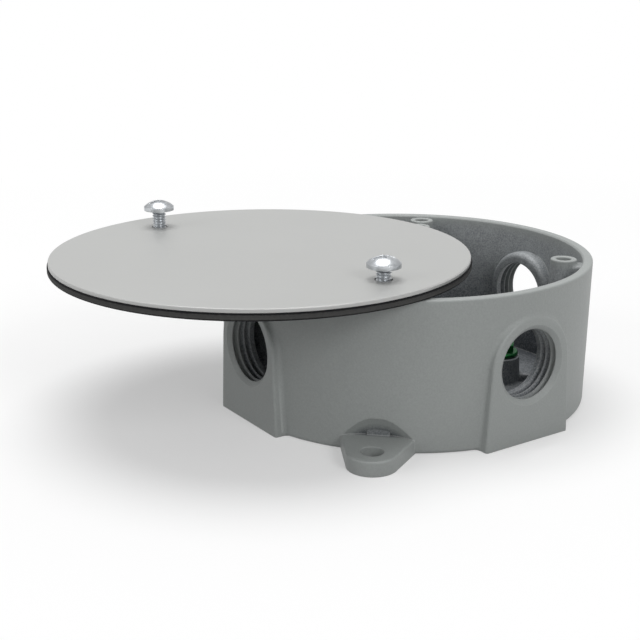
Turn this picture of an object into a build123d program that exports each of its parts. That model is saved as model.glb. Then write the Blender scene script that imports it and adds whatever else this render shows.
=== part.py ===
from build123d import *
import os
from math import hypot, radians, sqrt, tan

# Four-inch round weatherproof junction box: a die-cast body with five threaded outlets, a blank
# cover on a foam gasket, two cover screws and a ground screw. Millimetres, +Z up. The back face is
# z = 0, the origin is the middle of the back outlet, and the mounting lugs lie on the Y axis.
# The cover is drawn as it is left during wiring: turned aside on one loosened screw.

# Casting shell
BOX_HEIGHT = 40.5
BASE_RADIUS = 52.0
RIM_RADIUS = 52.4
RIM_WALL = 2.7
FLOOR_THICKNESS = 3.2
FLOOR_RADIUS = 47.8
BASE_EDGE_RADIUS = 1.0
FLOOR_CORNER_RADIUS = 2.0
RIM_OUTER_ROUND = 0.5
RIM_INNER_CHAMFER = 0.45

# Radii of the casting's inside corners
HUB_BLEND = 1.2
RING_BLEND = 1.2
FOOT_BLEND = 1.0
WEB_BLEND = 0.8
BOSS_BLEND = 0.8

# Half-inch conduit outlets: four side hubs on the diagonals and one in the back
HUB_ANGLES = (45, 135, 225, 315)
HUB_AXIS_HEIGHT = 21.0
HUB_FACE_DISTANCE = 52.9
HUB_INNER_DISTANCE = 45.0
HUB_OUTER_FOOT = 28.4
HUB_OUTER_ARCH = 26.0
HUB_INNER_FOOT = 25.6
HUB_INNER_ARCH = 25.0
HUB_OUTER_ROUND = 0.7
HUB_INNER_ROUND = 1.6
PIPE_MINOR_RADIUS = 9.35
PIPE_MAJOR_RADIUS = 10.65
PIPE_PITCH = 25.4 / 14
PIPE_LAND = 0.25
PIPE_MOUTH = 1.0
BACK_RING_RADIUS = 12.15
BACK_RING_HEIGHT = 3.0

# Screw posts inside the casting, for covers and fixtures on the two usual spacings
COVER_SPACING = 88.9
FIXTURE_SPACING = 69.85
POST_TOP_RADIUS = 3.6
POST_BASE_RADIUS = 4.7
POST_DROP = 0.3
POST_HOLE_RADIUS = 2.1
POST_HOLE_DEPTH = 16.0
POST_HOLE_CHAMFER = 0.25
PAIR_WEB_WIDTH = 3.1
PAIR_WEB_DROP = 1.2
WALL_WEB_WIDTH = 5.8
WALL_WEB_DROP = 1.8

# Ejector pads on the floor, one under each group of posts
PAD_WIDTH = 28.0
PAD_INNER_DISTANCE = 39.4
PAD_OUTER_DISTANCE = 49.4
PAD_CORNER = 3.5
PAD_HEIGHT = 0.4
EJECTOR_RADIUS = 3.3
EJECTOR_SPREAD = 10.3
EJECTOR_DISTANCE = 45.4
EJECTOR_DEPTH = 0.25

# Ground boss, its rib and its hole
GROUND_DISTANCE = 28.0
GROUND_BOSS_TOP = 11.0
GROUND_BOSS_TOP_RADIUS = 5.7
GROUND_BOSS_BASE_RADIUS = 6.1
GROUND_RIB_WIDTH = 2.9
GROUND_RIB_TOP = 5.9
GROUND_HOLE_RADIUS = 2.43
GROUND_HOLE_DEPTH = 9.0

# Mounting lugs and the screw-head reliefs in the wall over them
LUG_HOLE_SPACING = 120.65
LUG_HOLE_RADIUS = 3.0
LUG_END_RADIUS = 6.5
LUG_ROOT_WIDTH = 19.8
LUG_THICKNESS = 4.0
LUG_EDGE_ROUND = 0.5
RELIEF_DISTANCE = 70.0
RELIEF_LOW_RADIUS = 20.8
RELIEF_HIGH_RADIUS = 18.1
RELIEF_HEIGHT = 5.2
GATE_STUB_RADIUS = 1.8
GATE_STUB_HEIGHT = 2.4
GATE_STUB_ANGLE = -59

# Cover: a blank plate on a foam gasket, larger than the rim
COVER_RADIUS = 57.15
PLATE_THICKNESS = 1.0
PLATE_EDGE_ROUND = 0.3
PLATE_HOLE_RADIUS = 2.35
GASKET_RADIUS = 57.5
GASKET_THICKNESS = 2.0
GASKET_EDGE_ROUND = 0.7
GASKET_HOLE_RADIUS = 2.2
RIM_GAP = 0.05
COVER_SWING = 57.0

# Cover screws, No. 8-32, and how far each stands above the plate
SCREW_LENGTH = 7.94
SCREW_MAJOR_RADIUS = 2.05
SCREW_MINOR_RADIUS = 1.62
SCREW_PITCH = 25.4 / 32
SCREW_HEAD_RADIUS = 4.4
SCREW_HEAD_HEIGHT = 2.9
SCREW_HEAD_RIM = 1.1
PIVOT_SCREW_RAISE = 3.2
FREE_SCREW_RAISE = 5.1

# Ground screw, No. 10-32 with a hexagon washer head
GROUND_SCREW_LENGTH = 7.94
GROUND_SCREW_MAJOR_RADIUS = 2.38
GROUND_SCREW_MINOR_RADIUS = 1.93
GROUND_WASHER_RADIUS = 5.25
GROUND_WASHER_THICKNESS = 0.9
GROUND_HEX_ACROSS_FLATS = 7.9
GROUND_HEX_HEIGHT = 2.3
GROUND_CUP_RADIUS = 3.1
GROUND_CUP_DEPTH = 0.35
GROUND_SCREW_RAISE = 0.45

# Driver recess that all the screws share: a slot and a cross
SLOT_WIDTH = 1.1
SLOT_DEPTH = 0.9
CROSS_SPAN = 4.4
CROSS_WIDTH = 0.95
CROSS_DEPTH = 1.7

# Worked out from the dimensions above
RIM_INNER_RADIUS = RIM_RADIUS - RIM_WALL
POST_TOP = BOX_HEIGHT - POST_DROP
COVER_POST_DISTANCE = COVER_SPACING / 2
FIXTURE_POST_DISTANCE = FIXTURE_SPACING / 2
LUG_HOLE_DISTANCE = LUG_HOLE_SPACING / 2
GASKET_BOTTOM = BOX_HEIGHT + RIM_GAP
PLATE_BOTTOM = GASKET_BOTTOM + GASKET_THICKNESS
PLATE_TOP = PLATE_BOTTOM + PLATE_THICKNESS
PAIR_ANGLES = (90, 270)
SINGLE_ANGLES = (0, 180)
EMBED = 1.0
POST_SLAB = POST_BASE_RADIUS + 2 * FOOT_BLEND

STANDING = (Align.CENTER, Align.CENTER, Align.MIN)
HANGING = (Align.CENTER, Align.CENTER, Align.MAX)


def turned(angle, piece):
    """The piece turned about the Z axis."""
    return Rot(0, 0, angle) * piece


def at_height(edges, height):
    """The edges that lie flat at one height."""
    return edges.filter_by_position(Axis.Z, height - 0.01, height + 0.01)


# ---------------------------------------------------------------- casting
def shell_outside():
    solid = Cone(BASE_RADIUS, RIM_RADIUS, BOX_HEIGHT, align=STANDING)
    solid = fillet(at_height(solid.edges(), 0), BASE_EDGE_RADIUS)
    return fillet(at_height(solid.edges(), BOX_HEIGHT), RIM_OUTER_ROUND)


def hub_seams(solid):
    """The edges where the hubs meet the round wall: they lie on its cone, between its foot and its rim."""
    seams = []
    for edge in solid.edges().filter_by(GeomType.BSPLINE) + solid.edges().filter_by(GeomType.ELLIPSE):
        gaps = []
        for share in (0.1, 0.5, 0.9):
            point = edge.position_at(share)
            wall = BASE_RADIUS + (RIM_RADIUS - BASE_RADIUS) * point.Z / BOX_HEIGHT
            gaps.append(abs(hypot(point.X, point.Y) - wall))
        clear = HUB_BLEND < edge.center().Z < BOX_HEIGHT - HUB_BLEND
        if max(gaps) < 0.02 and clear:
            seams.append(edge)
    return seams


def shell_cavity():
    depth = BOX_HEIGHT - FLOOR_THICKNESS
    hollow = Pos(0, 0, FLOOR_THICKNESS) * Cone(FLOOR_RADIUS, RIM_INNER_RADIUS, depth, align=STANDING)
    hollow = fillet(at_height(hollow.edges(), FLOOR_THICKNESS), FLOOR_CORNER_RADIUS)
    mouth_radius = RIM_INNER_RADIUS + RIM_INNER_CHAMFER
    mouth = Cone(RIM_INNER_RADIUS, mouth_radius, RIM_INNER_CHAMFER, align=HANGING)
    return hollow + Pos(0, 0, BOX_HEIGHT) * mouth


def arch_block(foot_width, arch_width, near, far, bottom):
    """A tombstone-shaped block on the +X axis, from one distance to another, narrower upwards."""
    foot = Pos(0, bottom) * Rectangle(foot_width, EMBED, align=(Align.CENTER, Align.MIN))
    arch = Pos(0, HUB_AXIS_HEIGHT) * Circle(arch_width / 2)
    outline = make_hull(foot.edges() + arch.edges())
    return extrude(Plane.YZ.offset(near) * outline, far - near)


def hub_outside():
    """The flat-faced boss that stands out of the round wall."""
    block = arch_block(HUB_OUTER_FOOT, HUB_OUTER_ARCH, HUB_INNER_DISTANCE, HUB_FACE_DISTANCE, 0)
    face = block.faces().sort_by(Axis.X)[-1]
    rounded = face.edges().sort_by(Axis.Z)[1:]
    return fillet(rounded, HUB_OUTER_ROUND)


def hub_inside():
    """The thicker seat behind it, which gives the thread its length."""
    far = HUB_INNER_DISTANCE + 4 * EMBED
    block = arch_block(HUB_INNER_FOOT, HUB_INNER_ARCH, HUB_INNER_DISTANCE, far, EMBED)
    face = block.faces().sort_by(Axis.X)[0]
    rounded = face.edges().sort_by(Axis.Z)[1:]
    return fillet(rounded, HUB_INNER_ROUND)


def pipe_thread(length):
    """The hollow of a pipe thread through a wall, along +Z: a mouth chamfer, then a groove a turn."""
    hollow = Cylinder(PIPE_MINOR_RADIUS, length + EMBED, align=STANDING)
    hollow += Cone(PIPE_MAJOR_RADIUS, PIPE_MINOR_RADIUS, PIPE_MOUTH, align=STANDING)
    half_mouth = (PIPE_PITCH - PIPE_LAND) / 2
    turns = int((length - PIPE_MOUTH - PIPE_LAND) / PIPE_PITCH)
    for turn in range(turns):
        middle = PIPE_MOUTH + PIPE_LAND + half_mouth + turn * PIPE_PITCH
        groove = Polygon(
            (PIPE_MINOR_RADIUS - EMBED, middle - half_mouth),
            (PIPE_MINOR_RADIUS, middle - half_mouth),
            (PIPE_MAJOR_RADIUS, middle),
            (PIPE_MINOR_RADIUS, middle + half_mouth),
            (PIPE_MINOR_RADIUS - EMBED, middle + half_mouth),
            align=None,
        )
        hollow += revolve(Plane.XZ * groove, Axis.Z)
    return hollow


def side_outlet():
    mouth = Plane(origin=(HUB_FACE_DISTANCE, 0, HUB_AXIS_HEIGHT), x_dir=(0, 1, 0), z_dir=(-1, 0, 0))
    return mouth * pipe_thread(HUB_FACE_DISTANCE - HUB_INNER_DISTANCE)


def back_outlet():
    return pipe_thread(FLOOR_THICKNESS + BACK_RING_HEIGHT)


def floor_slab(near, far, width):
    """A slab let into the floor, flush with it, for what stands there to blend into."""
    slab = Box(far - near, width, EMBED, align=(Align.MIN, Align.CENTER, Align.MIN))
    return Pos(near, 0, FLOOR_THICKNESS - EMBED) * slab


def blended(group, near, far, width, corner_radius, foot_radius):
    """A post or boss with its web, with rounded inside corners and a rounded foot."""
    solid = floor_slab(near, far, width) + group
    solid = fillet(solid.edges().filter_by(GeomType.HYPERBOLA), corner_radius)
    foot = []
    for edge in at_height(solid.edges(), FLOOR_THICKNESS):
        middle = edge.position_at(0.5)
        if near + 0.01 < middle.X < far - 0.01 and abs(middle.Y) < width / 2 - 0.01:
            foot.append(edge)
    return fillet(foot, foot_radius)


def back_ring():
    ring = Cylinder(BACK_RING_RADIUS, FLOOR_THICKNESS + BACK_RING_HEIGHT, align=STANDING)
    ring = fillet(ring.edges().sort_by(Axis.Z)[-1], 0.6)
    slab = Cylinder(BACK_RING_RADIUS + 2 * RING_BLEND, FLOOR_THICKNESS, align=STANDING)
    foot = at_height((slab + ring).edges(), FLOOR_THICKNESS).sort_by(SortBy.LENGTH)[0]
    return fillet(foot, RING_BLEND)


def post(distance):
    """A tapered screw post on the +X axis, rising from the floor."""
    foot = FLOOR_THICKNESS - EMBED
    column = Cone(POST_BASE_RADIUS, POST_TOP_RADIUS, POST_TOP - foot, align=STANDING)
    column = fillet(column.edges().sort_by(Axis.Z)[-1], 0.3)
    return Pos(distance, 0, foot) * column


def web(near, far, width, top):
    """A flat web on the +X axis, rising from the floor between two distances."""
    foot = FLOOR_THICKNESS - EMBED
    block = Box(far - near, width, top - foot, align=(Align.MIN, Align.CENTER, Align.MIN))
    block = fillet(block.edges().filter_by(Axis.X).sort_by(Axis.Z)[-2:], 0.8)
    return Pos(near, 0, foot) * block


def single_post():
    """A post for the cover's spacing, joined to the wall."""
    far = BASE_RADIUS - 2 * EMBED
    wall_web = web(COVER_POST_DISTANCE, far, WALL_WEB_WIDTH, BOX_HEIGHT - WALL_WEB_DROP)
    group = post(COVER_POST_DISTANCE) + wall_web
    return blended(group, COVER_POST_DISTANCE - POST_SLAB, far, 2 * POST_SLAB, WEB_BLEND, FOOT_BLEND)


def post_pair():
    """The same post with one for the fixtures' spacing in front of it."""
    near = FIXTURE_POST_DISTANCE - POST_SLAB
    far = COVER_POST_DISTANCE - POST_HOLE_RADIUS - WEB_BLEND
    pair_web = web(FIXTURE_POST_DISTANCE, far, PAIR_WEB_WIDTH, BOX_HEIGHT - PAIR_WEB_DROP)
    group = post(FIXTURE_POST_DISTANCE) + pair_web
    return blended(group, near, far, 2 * POST_SLAB, WEB_BLEND, FOOT_BLEND) + single_post()


def post_hole(distance):
    hole = Cylinder(POST_HOLE_RADIUS, POST_HOLE_DEPTH, align=HANGING)
    hole += Cone(POST_HOLE_RADIUS, POST_HOLE_RADIUS + POST_HOLE_CHAMFER, POST_HOLE_CHAMFER, align=HANGING)
    return Pos(distance, 0, POST_TOP) * hole


def floor_pad():
    """A raised pad at the wall, with the round mark of an ejector pin on each side of the post."""
    length = PAD_OUTER_DISTANCE - PAD_INNER_DISTANCE
    pad = Box(length, PAD_WIDTH, PAD_HEIGHT + EMBED, align=(Align.MIN, Align.CENTER, Align.MIN))
    pad = fillet(pad.edges().filter_by(Axis.Z).sort_by(Axis.X)[:2], PAD_CORNER)
    pad = Pos(PAD_INNER_DISTANCE, 0, FLOOR_THICKNESS - EMBED) * pad
    mark = Cylinder(EJECTOR_RADIUS, EJECTOR_DEPTH, align=HANGING)
    for side in (-1, 1):
        pad -= Pos(EJECTOR_DISTANCE, side * EJECTOR_SPREAD, FLOOR_THICKNESS + PAD_HEIGHT) * mark
    return pad


def ground_boss():
    foot = FLOOR_THICKNESS - EMBED
    boss = Cone(GROUND_BOSS_BASE_RADIUS, GROUND_BOSS_TOP_RADIUS, GROUND_BOSS_TOP - foot, align=STANDING)
    boss = fillet(boss.edges().sort_by(Axis.Z)[-1], 0.3)
    rib = web(GROUND_DISTANCE, COVER_POST_DISTANCE, GROUND_RIB_WIDTH, GROUND_RIB_TOP)
    reach = GROUND_BOSS_BASE_RADIUS + 2 * BOSS_BLEND
    group = Pos(GROUND_DISTANCE, 0, foot) * boss + rib
    return blended(group, GROUND_DISTANCE - reach, COVER_POST_DISTANCE, 2 * reach, BOSS_BLEND / 2, BOSS_BLEND)


def ground_hole():
    hole = Cylinder(GROUND_HOLE_RADIUS, GROUND_HOLE_DEPTH, align=HANGING)
    return Pos(GROUND_DISTANCE, 0, GROUND_BOSS_TOP) * hole


def lug():
    """A tapered mounting ear on the +X axis, flush with the back."""
    root = Pos(BASE_RADIUS - 3 * EMBED, 0) * Rectangle(EMBED, LUG_ROOT_WIDTH)
    end = Pos(LUG_HOLE_DISTANCE, 0) * Circle(LUG_END_RADIUS)
    ear = extrude(make_hull(root.edges() + end.edges()), LUG_THICKNESS)
    outer_edges = at_height(ear.edges(), LUG_THICKNESS).sort_by(Axis.X)[1:]
    return fillet(outer_edges, LUG_EDGE_ROUND)


def lug_hole():
    return Pos(LUG_HOLE_DISTANCE, 0) * Cylinder(LUG_HOLE_RADIUS, 3 * LUG_THICKNESS)


def lug_relief():
    """The clearance that the wall leaves a screw's head over the lug."""
    cutter = Cone(RELIEF_LOW_RADIUS, RELIEF_HIGH_RADIUS, RELIEF_HEIGHT, align=STANDING)
    return Pos(RELIEF_DISTANCE, 0, LUG_THICKNESS) * cutter


def gate_stub():
    """The trimmed stub of the casting's gate, low on the wall."""
    stub = Cylinder(GATE_STUB_RADIUS, GATE_STUB_HEIGHT, align=STANDING)
    stub = fillet(stub.edges().sort_by(Axis.Z)[-1], 0.6)
    return turned(GATE_STUB_ANGLE, Pos(BASE_RADIUS - 0.5, 0) * stub)


def box_body():
    body = shell_outside() + [turned(angle, hub_outside()) for angle in HUB_ANGLES]
    body = fillet(hub_seams(body), HUB_BLEND) + gate_stub()
    body -= [turned(angle, lug_relief()) for angle in PAIR_ANGLES]
    body += [turned(angle, lug()) for angle in PAIR_ANGLES]
    body -= shell_cavity()
    body += [turned(angle, hub_inside()) for angle in HUB_ANGLES]
    body += [turned(angle, floor_pad()) for angle in PAIR_ANGLES + SINGLE_ANGLES]
    body += [turned(angle, post_pair()) for angle in PAIR_ANGLES]
    body += [turned(angle, single_post()) for angle in SINGLE_ANGLES]
    body += back_ring()
    body += ground_boss()
    body -= [turned(angle, side_outlet()) for angle in HUB_ANGLES]
    body -= back_outlet()
    body -= [turned(angle, post_hole(COVER_POST_DISTANCE)) for angle in PAIR_ANGLES + SINGLE_ANGLES]
    body -= [turned(angle, post_hole(FIXTURE_POST_DISTANCE)) for angle in PAIR_ANGLES]
    body -= [turned(angle, lug_hole()) for angle in PAIR_ANGLES]
    body -= ground_hole()
    return body


# ---------------------------------------------------------------- cover
def swung(piece):
    """A piece drawn on the closed cover, turned aside about the pivot screw."""
    return Pos(0, -COVER_POST_DISTANCE) * Rot(0, 0, COVER_SWING) * Pos(0, COVER_POST_DISTANCE) * piece


def cover_disc(radius, thickness, hole_radius):
    disc = Cylinder(radius, thickness, align=STANDING)
    for side in (-1, 1):
        disc -= Pos(0, side * COVER_POST_DISTANCE) * Cylinder(hole_radius, 3 * thickness)
    return disc


def cover_plate():
    plate = cover_disc(COVER_RADIUS, PLATE_THICKNESS, PLATE_HOLE_RADIUS)
    rim = at_height(plate.edges(), PLATE_THICKNESS).sort_by(SortBy.LENGTH)[-1]
    return swung(Pos(0, 0, PLATE_BOTTOM) * fillet(rim, PLATE_EDGE_ROUND))


def cover_gasket():
    pad = cover_disc(GASKET_RADIUS, GASKET_THICKNESS, GASKET_HOLE_RADIUS)
    rims = pad.edges().filter_by(GeomType.CIRCLE).sort_by(SortBy.LENGTH)[-2:]
    return swung(Pos(0, 0, GASKET_BOTTOM) * fillet(rims, GASKET_EDGE_ROUND))


# ---------------------------------------------------------------- screws
def screw_shank(major, minor, pitch, length):
    """A threaded shank that hangs from z = 0: one ridge for each turn, and a tapered tip."""
    neck = 0.6
    tip = length - 0.6
    profile = [(0, 0), (minor, 0), (minor, -neck)]
    for turn in range(int((tip - neck) / pitch)):
        top = neck + turn * pitch
        profile += [(major, -top - 0.4 * pitch), (major, -top - 0.6 * pitch), (minor, -top - pitch)]
    profile += [(minor, -tip), (minor - 0.4, -length), (0, -length)]
    return revolve(Plane.XZ * Polygon(*profile, align=None), Axis.Z)


def driver_recess(top):
    """The slot and the tapered cross cut into a head whose top is at this height."""
    slot = Box(4 * CROSS_SPAN, SLOT_WIDTH, SLOT_DEPTH, align=HANGING)
    arm = Polygon(
        (-CROSS_SPAN / 2, 0),
        (CROSS_SPAN / 2, 0),
        (CROSS_SPAN / 6, -CROSS_DEPTH),
        (-CROSS_SPAN / 6, -CROSS_DEPTH),
        align=None,
    )
    blade = extrude(Plane.XZ * arm, CROSS_WIDTH / 2, both=True)
    return Pos(0, 0, top) * (slot + blade + turned(90, blade))


def cover_screw():
    """A binding-head screw whose head rests on z = 0."""
    dome = SCREW_HEAD_HEIGHT - SCREW_HEAD_RIM
    dome_radius = (SCREW_HEAD_RADIUS**2 + dome**2) / (2 * dome)
    head = Cylinder(SCREW_HEAD_RADIUS, SCREW_HEAD_HEIGHT, align=STANDING)
    head &= Pos(0, 0, SCREW_HEAD_HEIGHT - dome_radius) * Sphere(dome_radius)
    head = fillet(at_height(head.edges(), SCREW_HEAD_RIM), 0.3)
    head -= driver_recess(SCREW_HEAD_HEIGHT)
    return head + screw_shank(SCREW_MAJOR_RADIUS, SCREW_MINOR_RADIUS, SCREW_PITCH, SCREW_LENGTH)


def pivot_cover_screw():
    return Pos(0, -COVER_POST_DISTANCE, PLATE_TOP + PIVOT_SCREW_RAISE) * turned(25, cover_screw())


def free_cover_screw():
    return swung(Pos(0, COVER_POST_DISTANCE, PLATE_TOP + FREE_SCREW_RAISE) * turned(-10, cover_screw()))


def ground_screw():
    """A hexagon washer-head screw, its washer just clear of the boss."""
    washer = Cylinder(GROUND_WASHER_RADIUS, GROUND_WASHER_THICKNESS, align=STANDING)
    washer = chamfer(washer.edges().sort_by(Axis.Z)[-1], 0.3)
    top = GROUND_WASHER_THICKNESS + GROUND_HEX_HEIGHT
    corner_radius = GROUND_HEX_ACROSS_FLATS / sqrt(3)
    hexagon = extrude(Rot(0, 0, 30) * RegularPolygon(corner_radius, 6), top)
    crown = Cone(corner_radius + top / tan(radians(30)), corner_radius - 0.5, top, align=STANDING)
    hexagon &= crown
    hexagon -= Pos(0, 0, top) * Cylinder(GROUND_CUP_RADIUS, GROUND_CUP_DEPTH, align=HANGING)
    hexagon -= driver_recess(top - GROUND_CUP_DEPTH)
    shank = screw_shank(
        GROUND_SCREW_MAJOR_RADIUS, GROUND_SCREW_MINOR_RADIUS, SCREW_PITCH, GROUND_SCREW_LENGTH
    )
    seat = GROUND_BOSS_TOP + GROUND_SCREW_RAISE
    return Pos(GROUND_DISTANCE, 0, seat) * (washer + hexagon + shank)


PIECES = {
    "box_body": box_body,
    "cover_plate": cover_plate,
    "cover_gasket": cover_gasket,
    "pivot_cover_screw": pivot_cover_screw,
    "free_cover_screw": free_cover_screw,
    "ground_screw": ground_screw,
}

os.makedirs("parts", exist_ok=True)
for name, make in PIECES.items():
    export_step(make(), f"parts/{name}.step")
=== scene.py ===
from math import cos, pi, radians, sin, sqrt

import bpy
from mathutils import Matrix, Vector


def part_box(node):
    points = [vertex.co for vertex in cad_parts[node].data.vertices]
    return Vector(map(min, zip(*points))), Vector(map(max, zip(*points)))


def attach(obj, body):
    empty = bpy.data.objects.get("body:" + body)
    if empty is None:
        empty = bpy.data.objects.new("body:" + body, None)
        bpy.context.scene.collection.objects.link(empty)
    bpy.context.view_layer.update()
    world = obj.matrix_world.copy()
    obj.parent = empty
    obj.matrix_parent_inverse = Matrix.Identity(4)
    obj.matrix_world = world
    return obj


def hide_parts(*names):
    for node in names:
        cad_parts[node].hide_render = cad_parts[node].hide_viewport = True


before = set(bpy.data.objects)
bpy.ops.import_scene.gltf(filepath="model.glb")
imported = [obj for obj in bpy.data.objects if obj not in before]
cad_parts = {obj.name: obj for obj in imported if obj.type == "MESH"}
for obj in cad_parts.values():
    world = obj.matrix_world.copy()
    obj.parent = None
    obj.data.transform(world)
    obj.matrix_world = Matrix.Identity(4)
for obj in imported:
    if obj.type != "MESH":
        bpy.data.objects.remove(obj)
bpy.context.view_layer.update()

bpy.ops.object.select_all(action="DESELECT")


# ------------------------------------------------------------------ the cast box
# The box is one aluminium die casting: wall, floor, hubs, posts, boss and lugs. It is powder coated
# grey after casting, so every edge is soft and the skin has a fine orange peel. The edges carry a
# painted highlight. Inside, the coat is mottled in patches, and painted shade darkens it deep down,
# where the floor and the posts' feet are.

MIX_UNDER = 6
MIX_OVER = 7
MIX_RESULT = 2
BEVEL_SAMPLES = 6
CORNER_GAIN = 6


class Wire:
    """One socket among a material's nodes. Sums and products of wires add Math nodes."""

    def __init__(self, tree, socket=None):
        self.tree = tree
        self.socket = socket

    def node(self, kind, settings, values, output=0):
        """Adds a node, sets it up, feeds its sockets, and returns one of its outputs, if it has any."""
        made = self.tree.nodes.new(kind)
        for name, setting in settings.items():
            setattr(made, name, setting)
        for name, value in values.items():
            if isinstance(value, Wire):
                self.tree.links.new(value.socket, made.inputs[name])
            else:
                made.inputs[name].default_value = value
        return Wire(self.tree, made.outputs[output]) if made.outputs else None

    def math(self, operation, *values):
        return self.node("ShaderNodeMath", {"operation": operation}, dict(enumerate(values)))

    def clamped(self):
        """Held between 0 and 1."""
        return self.node("ShaderNodeClamp", {}, {"Value": self})

    def tinted(self, dark, light):
        """Goes from one colour at 0 to another at 1."""
        return self.over((*dark, 1), light)

    def over(self, under, colour):
        """Lays a colour over another as far as this mask says."""
        colour = colour if isinstance(colour, Wire) else (*colour, 1)
        values = {"Factor": self, MIX_UNDER: under, MIX_OVER: colour}
        return self.node("ShaderNodeMix", {"data_type": "RGBA"}, values, MIX_RESULT)

    def noise(self, scale, detail=2.0, roughness=0.5):
        """Noise on these coordinates, with about this many bumps to the metre."""
        values = {"Vector": self, "Scale": scale, "Detail": detail, "Roughness": roughness}
        return self.node("ShaderNodeTexNoise", {}, values)

    def __add__(self, other):
        return self.math("ADD", self, other)

    def __sub__(self, other):
        return self.math("SUBTRACT", self, other)

    def __rsub__(self, other):
        return self.math("SUBTRACT", other, self)

    def __mul__(self, other):
        return self.math("MULTIPLY", self, other)

    def __truediv__(self, other):
        return self.math("DIVIDE", self, other)

    def __pow__(self, other):
        return self.math("POWER", self, other)

    __radd__ = __add__
    __rmul__ = __mul__


def new_finish(name):
    """An empty material, and a wire to add its nodes with."""
    material = bpy.data.materials.new(name)
    material.use_nodes = True
    material.node_tree.nodes.clear()
    return material, Wire(material.node_tree)


def object_place(start):
    """Where a point of the surface is, in metres from the part's origin."""
    return start.node("ShaderNodeTexCoord", {}, {}, "Object")


def along_axis(place, axis):
    """One coordinate of a place."""
    return place.node("ShaderNodeSeparateXYZ", {}, {"Vector": place}, axis)


def soft_normal(start, radius):
    """The surface's normal with its sharp corners rounded off to this radius."""
    return start.node("ShaderNodeBevel", {"samples": BEVEL_SAMPLES}, {"Radius": radius})


def edge_mask(start, softened):
    """1 along the corners that soft_normal rounds, 0 on the open surface."""
    flat = start.node("ShaderNodeNewGeometry", {}, {}, "Normal")
    both = {0: softened, 1: flat}
    along = start.node("ShaderNodeVectorMath", {"operation": "DOT_PRODUCT"}, both, "Value")
    return ((1 - along) * CORNER_GAIN).clamped()


def bumped(height, softened, depth):
    """The softened normal, tilted by a height that spans this depth."""
    return height.node("ShaderNodeBump", {}, {"Height": height, "Distance": depth, "Normal": softened})


def surfaced(start, **sockets):
    """Closes a material with a Principled shader fed by these sockets."""
    named = {name.replace("_", " "): value for name, value in sockets.items()}
    shader = start.node("ShaderNodeBsdfPrincipled", {}, named)
    start.node("ShaderNodeOutputMaterial", {}, {"Surface": shader})


def repaint(node, material):
    """Gives a CAD piece another finish."""
    for material_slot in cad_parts[node].material_slots:
        material_slot.material = material


COAT_GREY = (0.300, 0.318, 0.312)
COAT_LIGHT = (0.365, 0.385, 0.377)
# The lighter grey below is a painted highlight laid along the cast edges.
COAT_EDGE_HIGHLIGHT = (0.52, 0.54, 0.53)
# The two colours below tint the inside. The dark one is painted shade, and the light one is the inside
# where the painted shade has faded.
INSIDE_SHADE = (0.070, 0.078, 0.090)
INSIDE_LIT = (0.400, 0.420, 0.428)
CAST_EDGE = 0.0005
INSIDE_RADIUS = 0.0512
INSIDE_TOP = 0.0400
WALL_FADE = 0.0016
RIM_FADE = 0.003
FLOOR_CORNER = (0.048, 0.003)
CORNER_REACH = 0.026
CORNER_SHADE = 0.55
INSIDE_LIGHT_BASE = 0.27
SHADE_LIFT_WITH_HEIGHT = 4.0
GRAIN_SCALE = 2300
CLOUD_SCALE = 210
DRIFT_SCALE = 38
PEEL_SCALE = 900
PEEL_DEPTH = 0.00007

powder_coat, start = new_finish("grey_powder_coat")
place = object_place(start)
x_place, y_place, z_place = (along_axis(place, axis) for axis in "XYZ")
from_axis = (x_place * x_place + y_place * y_place) ** 0.5
inside_wall = ((INSIDE_RADIUS - from_axis) / WALL_FADE).clamped()
inside = inside_wall * ((INSIDE_TOP - z_place) / RIM_FADE).clamped()
# Painted shade gathers in the corner between the floor and the wall, fading out over CORNER_REACH.
out_of_corner = FLOOR_CORNER[0] - from_axis
over_corner = z_place - FLOOR_CORNER[1]
from_corner = (out_of_corner * out_of_corner + over_corner * over_corner) ** 0.5
shade_in_corner = (1 - from_corner / CORNER_REACH).clamped()
grain = place.noise(GRAIN_SCALE, 2, 0.6)
cloud = place.noise(CLOUD_SCALE, 7, 0.78)
drift = place.noise(DRIFT_SCALE, 3, 0.5)
peel = place.noise(PEEL_SCALE, 3, 0.55)
rounded = soft_normal(start, CAST_EDGE)
edges = edge_mask(start, rounded)
speck = ((grain - 0.36) * 3.2).clamped()
outer = (speck * 0.5 + drift * 0.5).tinted(COAT_GREY, COAT_LIGHT)
patch = ((cloud - 0.40) * 4.5).clamped()
# The inside's light level: painted shade deepens towards the floor and into the corner, over real
# mottle from grain and patches.
inside_light_and_mottle = INSIDE_LIGHT_BASE + speck * 0.46 + patch * 0.18 + z_place * SHADE_LIFT_WITH_HEIGHT - shade_in_corner * CORNER_SHADE
inside_shade_and_mottle = inside_light_and_mottle.clamped().tinted(INSIDE_SHADE, INSIDE_LIT)
# The edges get a painted highlight, and the inside gets its painted shade over real mottle.
skin = (edges * 0.55).over(inside.over(outer, inside_shade_and_mottle), COAT_EDGE_HIGHLIGHT)
surfaced(
    start,
    Base_Color=skin,
    Roughness=0.42 + peel * 0.16,
    Normal=bumped(peel + grain * 0.35, rounded, PEEL_DEPTH),
)
repaint("box_body", powder_coat)


# ------------------------------------------------------------------ the cover plate
# The blank cover is a disc stamped from aluminium sheet and coated pale grey. The punch leaves its
# upper edge rounded, the coat is thin and satin, and rolling has left faint streaks across it.

PLATE_GREY = (0.45, 0.455, 0.445)
PLATE_LIGHT = (0.51, 0.515, 0.505)
# The near-white below is a painted highlight along the plate's rounded edges.
PLATE_EDGE_HIGHLIGHT = (0.82, 0.82, 0.82)
PLATE_ROUND = 0.0003
ROLLING_ANGLE = 0.6
ROLLING_STRETCH = 14
STREAK_SCALE = 60
HAZE_SCALE = 24
FINE_SCALE = 2600
STREAK_DEPTH = 0.000012

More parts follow.
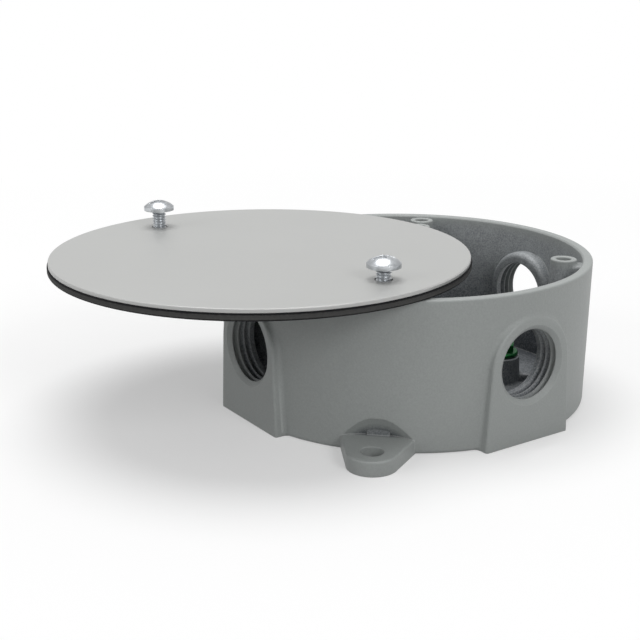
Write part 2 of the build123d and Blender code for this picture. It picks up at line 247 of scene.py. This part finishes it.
sheet_coat, start = new_finish("pale_satin_sheet")
place = object_place(start)
rolled = start.node(
    "ShaderNodeMapping",
    {},
    {"Vector": place, "Rotation": (0, 0, ROLLING_ANGLE), "Scale": (1, ROLLING_STRETCH, 1)},
)
streaks = rolled.noise(STREAK_SCALE, 5, 0.65)
haze = place.noise(HAZE_SCALE, 3, 0.5)
fine = place.noise(FINE_SCALE, 2, 0.5)
rounded = soft_normal(start, PLATE_ROUND)
edges = edge_mask(start, rounded)
tone = (streaks * 0.25 + haze * 0.45 + fine * 0.3).tinted(PLATE_GREY, PLATE_LIGHT)
surfaced(
    start,
    # The edges get the painted highlight.
    Base_Color=edges.over(tone, PLATE_EDGE_HIGHLIGHT),
    Metallic=0.30,
    Roughness=0.32 + streaks * 0.10 + fine * 0.05,
    Normal=bumped(fine + streaks, rounded, STREAK_DEPTH),
)
repaint("cover_plate", sheet_coat)


# ------------------------------------------------------------------ the foam gasket
# A disc of black closed-cell foam seals the cover to the rim. It is die cut a little larger than
# the plate and stuck to its underside. Its skin is rounded over, with a shallow band set in round the
# middle of its edge, and a painted highlight makes that band paler.

FOAM_ROUND = 0.0006
FOAM_CUT_DEPTH = 0.00012
FOAM_CUT_INSET = 0.00022
FOAM_HIGHLIGHT_HALF = 0.00068
FOAM_HIGHLIGHT_BLUR = 0.00025
FOAM_HIGHLIGHT_RAG = 0.0003
FOAM_HOLE_RADIUS = 0.0022
FOAM_SIDES = 288
FOAM_ROUND_STEPS = 5
FOAM_CREASE = radians(40)
HOLE_SIDES = 48
PUNCH_DEPTH = 0.01
CELL_SCALE = 3200
CRUMB_SCALE = 1300
CELL_DEPTH = 0.00006
FOAM_SKIN = (0.004, 0.004, 0.005)
# The paler grey below is a painted highlight along the middle of the gasket's edge.
FOAM_HIGHLIGHT = (0.070, 0.070, 0.068)
CLOSE_TO = 1e-5
UPRIGHT = 0.1
FLAT = 0.9


def pick(piece, kind, test):
    """Selects in edit mode the edges or faces of a piece that pass a test of middle and part."""
    bpy.ops.object.mode_set(mode="EDIT")
    bpy.ops.mesh.select_mode(type=kind)
    bpy.ops.mesh.select_all(action="DESELECT")
    bpy.ops.object.mode_set(mode="OBJECT")
    mesh = piece.data
    for part in mesh.edges if kind == "EDGE" else mesh.polygons:
        if kind == "EDGE":
            middle = sum((mesh.vertices[corner].co for corner in part.vertices), Vector()) / 2
        else:
            middle = part.center
        part.select = test(middle, part)
    bpy.ops.object.mode_set(mode="EDIT")


def settle(piece):
    """Back to object mode, with the piece's place, turn and size put into its mesh."""
    bpy.ops.object.mode_set(mode="OBJECT")
    bpy.ops.object.select_all(action="DESELECT")
    piece.select_set(True)
    bpy.context.view_layer.objects.active = piece
    bpy.ops.object.transform_apply(location=True, rotation=True, scale=True)


def combine(piece, other, operation):
    """Cuts the other piece out of this one, or joins it on."""
    change = piece.modifiers.new(operation.lower(), "BOOLEAN")
    change.operation = operation
    change.object = other
    change.solver = "EXACT"
    bpy.context.view_layer.objects.active = piece
    bpy.ops.object.modifier_apply(modifier=change.name)
    bpy.data.objects.remove(other)


foam_low, foam_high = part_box("cover_gasket")
foam_centre = (Vector(foam_low) + Vector(foam_high)) / 2
foam_radius = (foam_high[0] - foam_low[0]) / 2
foam_thickness = foam_high[2] - foam_low[2]
bpy.ops.mesh.primitive_cylinder_add(
    vertices=FOAM_SIDES, radius=foam_radius, depth=foam_thickness, location=foam_centre
)
gasket = bpy.context.object
gasket.name = "foam_gasket"
pick(gasket, "EDGE", lambda middle, edge: abs(abs(middle.z) - foam_thickness / 2) < CLOSE_TO)
bpy.ops.mesh.bevel(offset=FOAM_ROUND, segments=FOAM_ROUND_STEPS, profile=0.5, affect="EDGES")
pick(gasket, "FACE", lambda middle, face: abs(middle.z) < CLOSE_TO and abs(face.normal.z) < UPRIGHT)
bpy.ops.mesh.inset(thickness=FOAM_CUT_INSET, depth=-FOAM_CUT_DEPTH, use_even_offset=True)
settle(gasket)
for screw in ("pivot_cover_screw", "free_cover_screw"):
    screw_low, screw_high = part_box(screw)
    hole_at = (Vector(screw_low) + Vector(screw_high)) / 2
    hole_at.z = foam_centre.z
    bpy.ops.mesh.primitive_cylinder_add(
        vertices=HOLE_SIDES, radius=FOAM_HOLE_RADIUS, depth=PUNCH_DEPTH, location=hole_at
    )
    combine(gasket, bpy.context.object, "DIFFERENCE")
settle(gasket)
bpy.ops.object.shade_smooth_by_angle(angle=FOAM_CREASE)

foam, start = new_finish("black_closed_cell_foam")
place = object_place(start)
cells = start.node("ShaderNodeTexVoronoi", {}, {"Vector": place, "Scale": CELL_SCALE}, "Distance")
crumb = place.noise(CRUMB_SCALE, 3, 0.6)
# A band round the middle of the edge gets the painted highlight, and its border is ragged.
off_middle = start.math("ABSOLUTE", along_axis(place, "Z") - foam_centre.z)
band_highlight = ((FOAM_HIGHLIGHT_HALF - off_middle + (crumb - 0.5) * FOAM_HIGHLIGHT_RAG) / FOAM_HIGHLIGHT_BLUR).clamped()
surfaced(
    start,
    Base_Color=(band_highlight * (0.65 + crumb * 0.5)).clamped().tinted(FOAM_SKIN, FOAM_HIGHLIGHT),
    Specular_IOR_Level=0.2,
    Roughness=0.75 + crumb * 0.2,
    Normal=start.node(
        "ShaderNodeBump", {}, {"Height": cells * 0.6 + crumb, "Distance": CELL_DEPTH}
    ),
)
gasket.data.materials.append(foam)
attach(gasket, "cover")
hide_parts("cover_gasket")


# ------------------------------------------------------------------ the cover screws
# Two No. 8-32 binding-head machine screws, cold headed and roll threaded from steel wire and bright
# zinc plated. Each head has a slot crossed with a driver recess. The thread runs up to the head.

HEAD_RADIUS = 0.0044
HEAD_HEIGHT = 0.0029
HEAD_RIM = 0.0011
HEAD_SIDES = 72
HEAD_RINGS = 7
HEAD_EDGE = 0.00009
HEAD_EDGE_STEPS = 2
HEAD_EDGE_ANGLE = radians(32)
SCREW_CREASE = radians(30)
DRIVER_SLOT = (0.02, 0.0011, 0.0009)
DRIVER_ARM = (0.0044, 0.00095, 0.0017)
ARM_FOOT = 0.45
SHANK_LENGTH = 0.00794
SHANK_TIP = 0.0006
SHANK_TIP_WIDTH = 0.72
THREAD_MAJOR = 0.00205
THREAD_MINOR = 0.00162
THREAD_PITCH = 0.0254 / 32
THREAD_FLANK = 0.46
THREAD_START = 0.75
THREAD_STEPS = 48
WELD = 1e-7
PIVOT_TURN = radians(25)
FREE_TURN = radians(47)
ZINC = (0.66, 0.68, 0.70)
ZINC_DULL = (0.42, 0.44, 0.46)
# The brighter zinc below is a painted highlight along the screws' edges.
ZINC_EDGE_HIGHLIGHT = (0.86, 0.87, 0.88)
ZINC_EDGE = 0.00012
BRUSH_SCALE = 1500
DULL_SCALE = 420
BRUSH_DEPTH = 0.000015


def driver_arm(size, top, turn, taper):
    """A cutter for one arm of the recess, narrower at its foot."""
    length, width, depth = size
    bpy.ops.mesh.primitive_cube_add(size=1, location=(0, 0, top), rotation=(0, 0, turn))
    arm = bpy.context.object
    arm.scale = (length, width, 2 * depth)
    settle(arm)
    pick(arm, "FACE", lambda middle, face: face.normal.z < -FLAT)
    bpy.ops.transform.resize(value=(taper, taper, 1), center_override=(0, 0, top))
    bpy.ops.object.mode_set(mode="OBJECT")
    return arm


def threaded_shank(major, minor, pitch, length):
    """A shank that hangs from z = 0, with a helical ridge and a tapered tip."""
    straight = length - SHANK_TIP
    bpy.ops.mesh.primitive_cylinder_add(
        vertices=THREAD_STEPS, radius=minor, depth=straight, location=(0, 0, -straight / 2)
    )
    core = bpy.context.object
    settle(core)
    pick(core, "FACE", lambda middle, face: face.normal.z < -FLAT)
    bpy.ops.mesh.extrude_region_move(TRANSFORM_OT_translate={"value": (0, 0, -SHANK_TIP)})
    bpy.ops.transform.resize(
        value=(SHANK_TIP_WIDTH, SHANK_TIP_WIDTH, 1), center_override=(0, 0, -length)
    )
    bpy.ops.object.mode_set(mode="OBJECT")
    depth = major - minor
    turns = int((straight - pitch) / pitch)
    bpy.ops.mesh.primitive_circle_add(vertices=4, radius=1, rotation=(pi / 2, 0, 0))
    ridge = bpy.context.object
    ridge.scale = (depth, THREAD_FLANK * pitch, 1)
    ridge.location = (minor, 0, -THREAD_START * pitch)
    settle(ridge)
    helix = ridge.modifiers.new("helix", "SCREW")
    helix.axis = "Z"
    helix.iterations = turns
    helix.screw_offset = -pitch
    helix.steps = THREAD_STEPS
    helix.render_steps = THREAD_STEPS
    bpy.ops.object.modifier_apply(modifier="helix")
    bpy.ops.object.mode_set(mode="EDIT")
    bpy.ops.mesh.select_all(action="SELECT")
    bpy.ops.mesh.remove_doubles(threshold=WELD)
    bpy.ops.mesh.fill_holes(sides=4)
    bpy.ops.mesh.normals_make_consistent(inside=False)
    bpy.ops.object.mode_set(mode="OBJECT")
    combine(core, ridge, "UNION")
    return core


def screw_copy(model, name, like, turn):
    """A copy of a screw, put where the CAD screw is."""
    low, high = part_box(like)
    copy = model.copy()
    copy.data = model.data.copy()
    copy.name = name
    bpy.context.collection.objects.link(copy)
    copy.location = ((low[0] + high[0]) / 2, (low[1] + high[1]) / 2, high[2] - HEAD_HEIGHT)
    copy.rotation_euler = (0, 0, turn)
    settle(copy)
    return copy


dome = HEAD_HEIGHT - HEAD_RIM
dome_radius = (HEAD_RADIUS**2 + dome**2) / (2 * dome)
bpy.ops.mesh.primitive_cylinder_add(
    vertices=HEAD_SIDES, radius=HEAD_RADIUS, depth=HEAD_RIM, location=(0, 0, HEAD_RIM / 2)
)
cover_screw = bpy.context.object
settle(cover_screw)
pick(cover_screw, "FACE", lambda middle, face: face.normal.z > FLAT)
ring_z = HEAD_RIM
ring_radius = HEAD_RADIUS
for ring in range(1, HEAD_RINGS + 1):
    next_radius = HEAD_RADIUS * (1 - ring / (HEAD_RINGS + 1))
    next_z = HEAD_HEIGHT - dome_radius + sqrt(dome_radius**2 - next_radius**2)
    bpy.ops.mesh.extrude_region_move(TRANSFORM_OT_translate={"value": (0, 0, next_z - ring_z)})
    grow = next_radius / ring_radius
    bpy.ops.transform.resize(value=(grow, grow, 1), center_override=(0, 0, next_z))
    ring_z = next_z
    ring_radius = next_radius
bpy.ops.object.mode_set(mode="OBJECT")
combine(cover_screw, driver_arm(DRIVER_SLOT, HEAD_HEIGHT, 0, 1), "DIFFERENCE")
for turn in (0, pi / 2):
    combine(cover_screw, driver_arm(DRIVER_ARM, HEAD_HEIGHT, turn, ARM_FOOT), "DIFFERENCE")
bpy.context.view_layer.objects.active = cover_screw
edge_round = cover_screw.modifiers.new("edge_round", "BEVEL")
edge_round.width = HEAD_EDGE
edge_round.segments = HEAD_EDGE_STEPS
edge_round.limit_method = "ANGLE"
edge_round.angle_limit = HEAD_EDGE_ANGLE
bpy.ops.object.modifier_apply(modifier="edge_round")
shank = threaded_shank(THREAD_MAJOR, THREAD_MINOR, THREAD_PITCH, SHANK_LENGTH)
combine(cover_screw, shank, "UNION")
bpy.context.view_layer.objects.active = cover_screw
settle(cover_screw)
bpy.ops.object.shade_smooth_by_angle(angle=SCREW_CREASE)

zinc, start = new_finish("bright_zinc_plate")
place = object_place(start)
brushed = place.noise(BRUSH_SCALE, 4, 0.7)
dull = place.noise(DULL_SCALE, 3, 0.6)
rounded = soft_normal(start, ZINC_EDGE)
edges = edge_mask(start, rounded)
plate = ((dull - 0.35) * 2.5).clamped().tinted(ZINC_DULL, ZINC)
# The edges get the painted highlight.
surfaced(
    start,
    Base_Color=(edges * 0.7).over(plate, ZINC_EDGE_HIGHLIGHT),
    Metallic=1.0,
    Roughness=0.20 + brushed * 0.22,
    Normal=bumped(brushed, rounded, BRUSH_DEPTH),
)
cover_screw.data.materials.append(zinc)

COVER_SCREWS = (
    ("pivot_screw_zinc", "pivot_cover_screw", "pivot_screw", PIVOT_TURN),
    ("free_screw_zinc", "free_cover_screw", "free_screw", FREE_TURN),
)
for name, like, body, turn in COVER_SCREWS:
    screw = screw_copy(cover_screw, name, like, turn)
    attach(screw, body)
    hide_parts(like)
bpy.data.objects.remove(cover_screw)


# ------------------------------------------------------------------ the ground screw
# The ground screw is a No. 10-32 with a hexagon head forged in one with its washer, zinc plated and
# dyed green so that an electrician knows it. Its corners are painted a paler green as a painted
# highlight.

DYE_GREEN = (0.020, 0.235, 0.055)
DYE_DEEP = (0.008, 0.120, 0.030)
# The paler green below is a painted highlight for the screw's corners.
DYE_EDGE_HIGHLIGHT = (0.30, 0.62, 0.36)
DYED_EDGE = 0.00018
POOL_SCALE = 500

green_dye, start = new_finish("green_dyed_zinc")
place = object_place(start)
brushed = place.noise(BRUSH_SCALE, 4, 0.7)
pooled = place.noise(POOL_SCALE, 3, 0.6)
rounded = soft_normal(start, DYED_EDGE)
edges = edge_mask(start, rounded)
dye = ((pooled - 0.35) * 2.5).clamped().tinted(DYE_DEEP, DYE_GREEN)
# The corners get the painted highlight.
surfaced(
    start,
    Base_Color=(edges * 0.8).over(dye, DYE_EDGE_HIGHLIGHT),
    Metallic=0.85,
    Roughness=0.24 + brushed * 0.2,
    Normal=bumped(brushed, rounded, BRUSH_DEPTH),
)
repaint("ground_screw", green_dye)


# ------------------------------------------------------------------ the table and the light
# The box lies on its back on a white sweep. A large soft lamp hangs over it, a smaller one stands
# at the front right and a weak one at the front left. The sweep fades to plain white further out.

SWEEP_SIZE = 6.0
SWEEP_WHITE = (0.90, 0.90, 0.90)
SWEEP_BOUNCE = (0.45, 0.45, 0.45)
SWEEP_GLOW = 0.35
GLOW_START = 0.10
GLOW_REACH = 0.30
WORLD_LEVEL = 0.38
WORLD_GLOSS = 0.5
LAMP_AIM = (0, 0, 0.02)

bpy.ops.mesh.primitive_plane_add(size=SWEEP_SIZE, location=(0, 0, 0))
sweep = bpy.context.object
sweep.name = "sweep"
white_paper, start = new_finish("white_paper")
place = object_place(start)
ahead = start.node("ShaderNodeVectorMath", {"operation": "LENGTH"}, {0: place}, "Value")
seen = start.node("ShaderNodeLightPath", {}, {}, "Is Camera Ray")
mirrored = start.node("ShaderNodeLightPath", {}, {}, "Is Glossy Ray")
shown = (seen + mirrored).clamped()
further = ((ahead - GLOW_START) / GLOW_REACH).clamped()
lit = (SWEEP_GLOW + further * (1 - SWEEP_GLOW)) * shown
paper = start.node("ShaderNodeBsdfDiffuse", {}, {"Color": shown.tinted(SWEEP_BOUNCE, SWEEP_WHITE)})
glow = start.node("ShaderNodeEmission", {}, {"Color": (1, 1, 1, 1), "Strength": 1.0})
blend = start.node("ShaderNodeMixShader", {}, {0: lit, 1: paper, 2: glow})
start.node("ShaderNodeOutputMaterial", {}, {"Surface": blend})
sweep.data.materials.append(white_paper)


def lamp(name, place, size, power):
    """A round area lamp, turned to the box."""
    light = bpy.data.lights.new(name, "AREA")
    light.shape = "DISK"
    light.size = size
    light.energy = power
    shone = bpy.data.objects.new(name, light)
    bpy.context.collection.objects.link(shone)
    shone.location = place
    shone.rotation_euler = (Vector(LAMP_AIM) - Vector(place)).to_track_quat("-Z", "Y").to_euler()


lamp("top_lamp", (-0.15, 0.25, 1.3), size=1.0, power=11.0)
lamp("key_lamp", (0.9, -0.9, 0.8), size=0.6, power=6.0)
lamp("fill_lamp", (-1.0, -0.7, 0.6), size=0.8, power=3.0)

world = bpy.data.worlds.new("studio")
bpy.context.scene.world = world
world.use_nodes = True
world.node_tree.nodes.clear()
start = Wire(world.node_tree)
seen = start.node("ShaderNodeLightPath", {}, {}, "Is Camera Ray")
mirrored = start.node("ShaderNodeLightPath", {}, {}, "Is Glossy Ray")
through = start.node("ShaderNodeLightPath", {}, {}, "Is Transmission Ray")
shown = (seen + mirrored * WORLD_GLOSS + through).clamped()
strength = WORLD_LEVEL + shown * (1 - WORLD_LEVEL)
light = start.node("ShaderNodeBackground", {}, {"Color": (1, 1, 1, 1), "Strength": strength})
start.node("ShaderNodeOutputWorld", {}, {"Surface": light})

scene = bpy.context.scene
scene.view_settings.view_transform = "Standard"


# ------------------------------------------------------------------ the camera
# It looks at the box from a little above, close enough that the cover's near edge looms larger.

LOOK_AZIMUTH = radians(11.0)
LOOK_ELEVATION = radians(16.95)
LOOK_DISTANCE = 0.3096
LOOK_POINT = (-0.0199, -0.025, 0.026)
LENS = 64.0
NEAREST = 0.01

level = cos(LOOK_ELEVATION)
back = Vector((sin(LOOK_AZIMUTH) * level, -cos(LOOK_AZIMUTH) * level, sin(LOOK_ELEVATION)))
camera_data = bpy.data.cameras.new("camera")
camera_data.lens = LENS
camera_data.clip_start = NEAREST
camera = bpy.data.objects.new("camera", camera_data)
scene.collection.objects.link(camera)
camera.location = Vector(LOOK_POINT) + LOOK_DISTANCE * back
camera.rotation_euler = (-back).to_track_quat("-Z", "Y").to_euler()
scene.camera = camera
